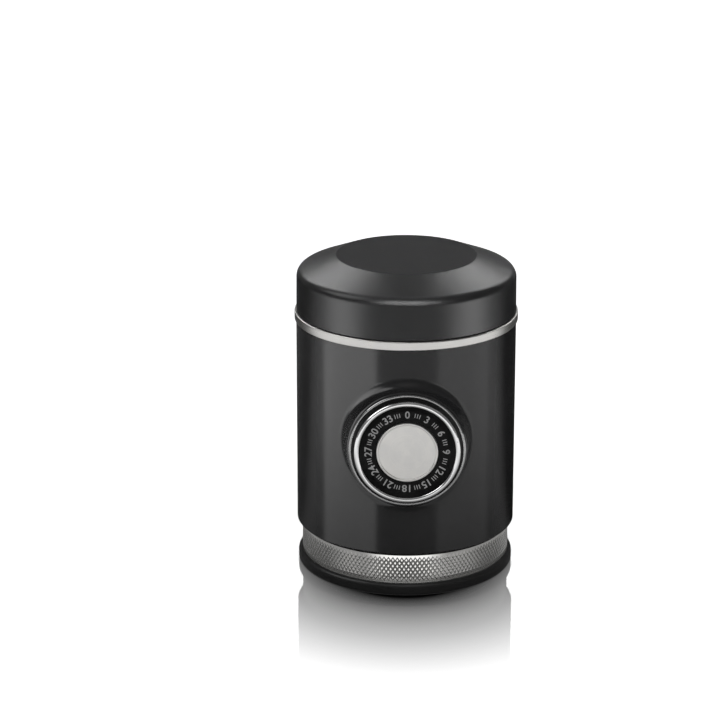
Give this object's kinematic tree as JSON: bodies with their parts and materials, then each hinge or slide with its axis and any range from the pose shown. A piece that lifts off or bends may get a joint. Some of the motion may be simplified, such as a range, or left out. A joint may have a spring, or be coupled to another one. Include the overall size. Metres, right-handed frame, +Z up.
{
  "type": "handheld manual espresso maker",
  "caption": "Pocket-size hand-pumped espresso maker: black cylinder, screw lid over a water tank, side pump knob, knurled basket ring and pull-off foot cover.",
  "frame": {"origin": "centre of the foot's flat underside, on the axis of the round body", "axes": "+Z up along the body's axis, -Y out of the pump knob (the front), +X to the right of the front"},
  "size_m": [0.072, 0.0785, 0.104],
  "materials": {
    "soft_black": "satin soft-touch charcoal",
    "knurled_steel": "fine diamond knurl, satin",
    "polished_steel": "polished stainless",
    "screw_steel": "turned stainless",
    "spring_steel": "drawn wire",
    "satin_silver": "satin, fine turned",
    "bright_chrome": "mirror",
    "dial_black": "semi-gloss",
    "black_nylon": "fine moulded grain",
    "grey_plastic": "moulded",
    "smoke_plastic": "smooth moulded",
    "silicone": "matt silicone",
    "brass": "turned"
  },
  "bodies": {
    "body": {"body_shell": "soft_black", "water_tank": "smoke_plastic", "brew_head": "black_nylon", "trim_ring": "satin_silver", "pump_block": "black_nylon", "shower_screen": "polished_steel", "shower_screw": "screw_steel", "basket_gasket": "silicone", "tie_screws": "screw_steel", "outlet_face_seal": "silicone", "tank_face_seal": "silicone", "cylinder_liner": "polished_steel", "cylinder_plug": "grey_plastic", "rod_guide": "grey_plastic", "return_spring": "spring_steel", "inlet_seat": "brass", "inlet_spring": "spring_steel", "outlet_seat": "brass", "outlet_spring": "spring_steel", "inlet_strainer": "grey_plastic", "knob_guide": "black_nylon", "knob_bezel": "bright_chrome"},
    "lid_seal": {"lid_gasket": "silicone"},
    "lid": {"lid_shell": "soft_black", "lid_liner": "black_nylon"},
    "basket": {"filter_basket": "polished_steel"},
    "portafilter": {"portafilter_ring": "knurled_steel"},
    "foot": {"base_cover": "soft_black", "base_seal": "silicone"},
    "plunger": {"piston": "grey_plastic", "piston_seal": "silicone", "piston_rod": "polished_steel", "rod_screw": "screw_steel"},
    "knob": {"knob_cup": "black_nylon", "knob_ring": "bright_chrome", "knob_dial": "dial_black", "knob_disc": "satin_silver"},
    "inlet_valve": {"inlet_ball": "polished_steel"},
    "outlet_valve": {"outlet_ball": "polished_steel"}
  },
  "joints": [
    {"name": "lid_lift", "type": "slide", "parent": "body", "child": "lid_seal", "axis": [0, 0, 1], "range_m": [0, 0.0038]},
    {"name": "lid_turn", "type": "hinge", "parent": "lid_seal", "child": "lid", "pos_m": [0, 0, 0.09], "axis": [0, 0, 1], "range_deg": [0, 450]},
    {"name": "portafilter_drop", "type": "slide", "parent": "body", "child": "basket", "axis": [0, 0, -1], "range_m": [0, 0.0038]},
    {"name": "portafilter_turn", "type": "hinge", "parent": "basket", "child": "portafilter", "pos_m": [0, 0, 0.01], "axis": [0, 0, -1], "range_deg": [0, 450]},
    {"name": "base_cover_pull", "type": "slide", "parent": "portafilter", "child": "foot", "axis": [0, 0, -1], "range_m": [0, 0.012]},
    {"name": "knob_stroke", "type": "slide", "parent": "body", "child": "plunger", "axis": [0, -1, 0], "range_m": [0, 0.018], "stiffness_N_per_m": 400, "springref_m": 0.026, "deforming": ["return_spring"]},
    {"name": "knob_twist", "type": "hinge", "parent": "plunger", "child": "knob", "pos_m": [0, -0.0425, 0.0516], "axis": [0, -1, 0], "range_deg": [0, 45]},
    {"name": "inlet_ball_drop", "type": "slide", "parent": "body", "child": "inlet_valve", "axis": [0, 0, -1], "range_m": [0, 0.0012], "stiffness_N_per_m": 100, "springref_m": -0.0015, "deforming": ["inlet_spring"]},
    {"name": "outlet_ball_drop", "type": "slide", "parent": "body", "child": "outlet_valve", "axis": [0, 0, -1], "range_m": [0, 0.0012], "stiffness_N_per_m": 100, "springref_m": -0.0015, "deforming": ["outlet_spring"]}
  ],
  "couplings": [
    {"joint": "lid_lift", "follows": "lid_turn", "m_per_rad": 0.00047746},
    {"joint": "portafilter_drop", "follows": "portafilter_turn", "m_per_rad": 0.00047746}
  ]
}
